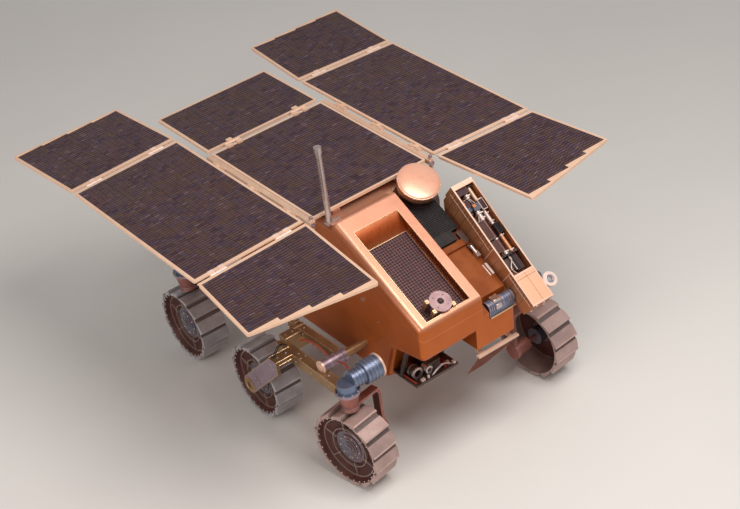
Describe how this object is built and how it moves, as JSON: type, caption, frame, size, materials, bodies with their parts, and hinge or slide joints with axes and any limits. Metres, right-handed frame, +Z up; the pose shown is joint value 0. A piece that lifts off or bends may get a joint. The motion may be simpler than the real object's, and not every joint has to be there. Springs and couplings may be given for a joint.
{
  "type": "planetary rover",
  "caption": "Six-wheeled planetary rover with a sloped copper-coloured body, folding solar array, steered corner wheels and a side-mounted drill box.",
  "frame": {"origin": "on the ground, on the centreline, at the middle of the overall length", "axes": "+X forward towards the sloped nose, +Y to the rover's left where the drill box is, +Z up"},
  "size_m": [1.7461, 1.488, 1.08],
  "materials": {
    "copper_skin": "satin champagne copper",
    "pale_copper": "satin",
    "dark_mesh": "fine dark mesh",
    "pale_metal": "satin",
    "bare_metal": "brushed",
    "dark_metal": "dark, rough",
    "black_fins": "black, matt",
    "cream_frame": "satin",
    "solar_cells": "dark glossy cells in a cream frame",
    "gold_beam": "dull gold film",
    "pink_copper": "satin",
    "white_tube": "satin",
    "wheel_strip": "worn bare strip",
    "wheel_inside": "dark brown"
  },
  "bodies": {
    "chassis": {"body_tub": "copper_skin", "deck_frame": "copper_skin", "radiator_plate": "dark_mesh", "window_ring": "pale_metal", "antenna_drum": "pale_copper", "ribbed_block": "black_fins", "rod_antenna": "bare_metal", "array_frame": "cream_frame", "centre_mid_panel": "solar_cells", "bogie_right": "gold_beam", "bogie_left": "gold_beam", "rear_bogie": "gold_beam", "steering_columns": "pink_copper", "steering_motors": "bare_metal", "drill_positioner": "bare_metal", "front_strip": "pale_metal", "nose_instruments": "dark_metal", "hold_down_feet": "bare_metal"},
    "rear_panel": {"centre_rear_panel": "solar_cells"},
    "drill_box": {"drill_tray": "cream_frame", "drill_side_box": "copper_skin", "drill_rods": "white_tube", "drill_ring": "white_tube"},
    "front_right_wheel": {"tread_front_right": "wheel_strip", "wheel_centre_front_right": "wheel_inside"},
    "front_right_steering": {"knuckle_front_right": "pink_copper"},
    "front_left_wheel": {"tread_front_left": "wheel_strip", "wheel_centre_front_left": "wheel_inside"},
    "front_left_steering": {"knuckle_front_left": "pink_copper"},
    "middle_right_wheel": {"tread_middle_right": "wheel_strip", "wheel_centre_middle_right": "wheel_inside"},
    "middle_left_wheel": {"tread_middle_left": "wheel_strip", "wheel_centre_middle_left": "wheel_inside"},
    "rear_right_wheel": {"tread_rear_right": "wheel_strip", "wheel_centre_rear_right": "wheel_inside"},
    "rear_right_steering": {"knuckle_rear_right": "pink_copper"},
    "rear_left_wheel": {"tread_rear_left": "wheel_strip", "wheel_centre_rear_left": "wheel_inside"},
    "rear_left_steering": {"knuckle_rear_left": "pink_copper"},
    "right_wing": {"right_mid_panel": "solar_cells"},
    "right_front_flap": {"right_front_panel": "solar_cells"},
    "right_rear_flap": {"right_rear_panel": "solar_cells"},
    "left_wing": {"left_mid_panel": "solar_cells"},
    "left_front_flap": {"left_front_panel": "solar_cells"},
    "left_rear_flap": {"left_rear_panel": "solar_cells"}
  },
  "joints": [
    {"name": "front_right_steer", "type": "hinge", "parent": "chassis", "child": "front_right_steering", "pos_m": [0.622, -0.403, 0.3], "axis": [0, 0, 1], "range_deg": [-40, 20]},
    {"name": "front_right_spin", "type": "hinge", "parent": "front_right_steering", "child": "front_right_wheel", "pos_m": [0.622, -0.403, 0.14296], "axis": [-0.1736, 0.9848, 0], "continuous": true},
    {"name": "front_left_steer", "type": "hinge", "parent": "chassis", "child": "front_left_steering", "pos_m": [0.622, 0.403, 0.3], "axis": [0, 0, 1], "range_deg": [-36, 24]},
    {"name": "front_left_spin", "type": "hinge", "parent": "front_left_steering", "child": "front_left_wheel", "pos_m": [0.622, 0.403, 0.14296], "axis": [-0.1045, 0.9945, 0], "continuous": true},
    {"name": "rear_right_steer", "type": "hinge", "parent": "chassis", "child": "rear_right_steering", "pos_m": [-0.379, -0.403, 0.3], "axis": [0, 0, 1], "range_deg": [-30, 30]},
    {"name": "rear_right_spin", "type": "hinge", "parent": "rear_right_steering", "child": "rear_right_wheel", "pos_m": [-0.379, -0.403, 0.14296], "axis": [0, 1, 0], "continuous": true},
    {"name": "rear_left_steer", "type": "hinge", "parent": "chassis", "child": "rear_left_steering", "pos_m": [-0.379, 0.403, 0.3], "axis": [0, 0, 1], "range_deg": [-30, 30]},
    {"name": "rear_left_spin", "type": "hinge", "parent": "rear_left_steering", "child": "rear_left_wheel", "pos_m": [-0.379, 0.403, 0.14296], "axis": [0, 1, 0], "continuous": true},
    {"name": "middle_right_spin", "type": "hinge", "parent": "chassis", "child": "middle_right_wheel", "pos_m": [0.097, -0.403, 0.14296], "axis": [0, 1, 0], "continuous": true},
    {"name": "middle_left_spin", "type": "hinge", "parent": "chassis", "child": "middle_left_wheel", "pos_m": [0.097, 0.403, 0.14296], "axis": [0, 1, 0], "continuous": true},
    {"name": "right_wing_fold", "type": "hinge", "parent": "chassis", "child": "right_wing", "pos_m": [0.0085, -0.269, 0.819], "axis": [-1, 0, 0], "range_deg": [0, 90]},
    {"name": "right_front_flap_fold", "type": "hinge", "parent": "right_wing", "child": "right_front_flap", "pos_m": [0.319, -0.49034, 0.8105], "axis": [0, 0.9993, 0.0384], "range_deg": [0, 60]},
    {"name": "right_rear_flap_fold", "type": "hinge", "parent": "right_wing", "child": "right_rear_flap", "pos_m": [-0.479, -0.49034, 0.8105], "axis": [0, -0.9993, -0.0384], "range_deg": [0, 60]},
    {"name": "left_wing_fold", "type": "hinge", "parent": "chassis", "child": "left_wing", "pos_m": [0.0085, 0.269, 0.819], "axis": [1, 0, 0], "range_deg": [0, 90]},
    {"name": "left_front_flap_fold", "type": "hinge", "parent": "left_wing", "child": "left_front_flap", "pos_m": [0.319, 0.49034, 0.8105], "axis": [0, 0.9993, -0.0384], "range_deg": [0, 60]},
    {"name": "left_rear_flap_fold", "type": "hinge", "parent": "left_wing", "child": "left_rear_flap", "pos_m": [-0.479, 0.49034, 0.8105], "axis": [0, -0.9993, 0.0384], "range_deg": [0, 60]},
    {"name": "rear_panel_fold", "type": "hinge", "parent": "chassis", "child": "rear_panel", "pos_m": [-0.309, 0, 0.8215], "axis": [0, 1, 0], "range_deg": [0, 170]},
    {"name": "drill_lift", "type": "hinge", "parent": "chassis", "child": "drill_box", "pos_m": [0.764, 0.21, 0.5], "axis": [0, 1, 0], "range_deg": [0, 51]}
  ]
}
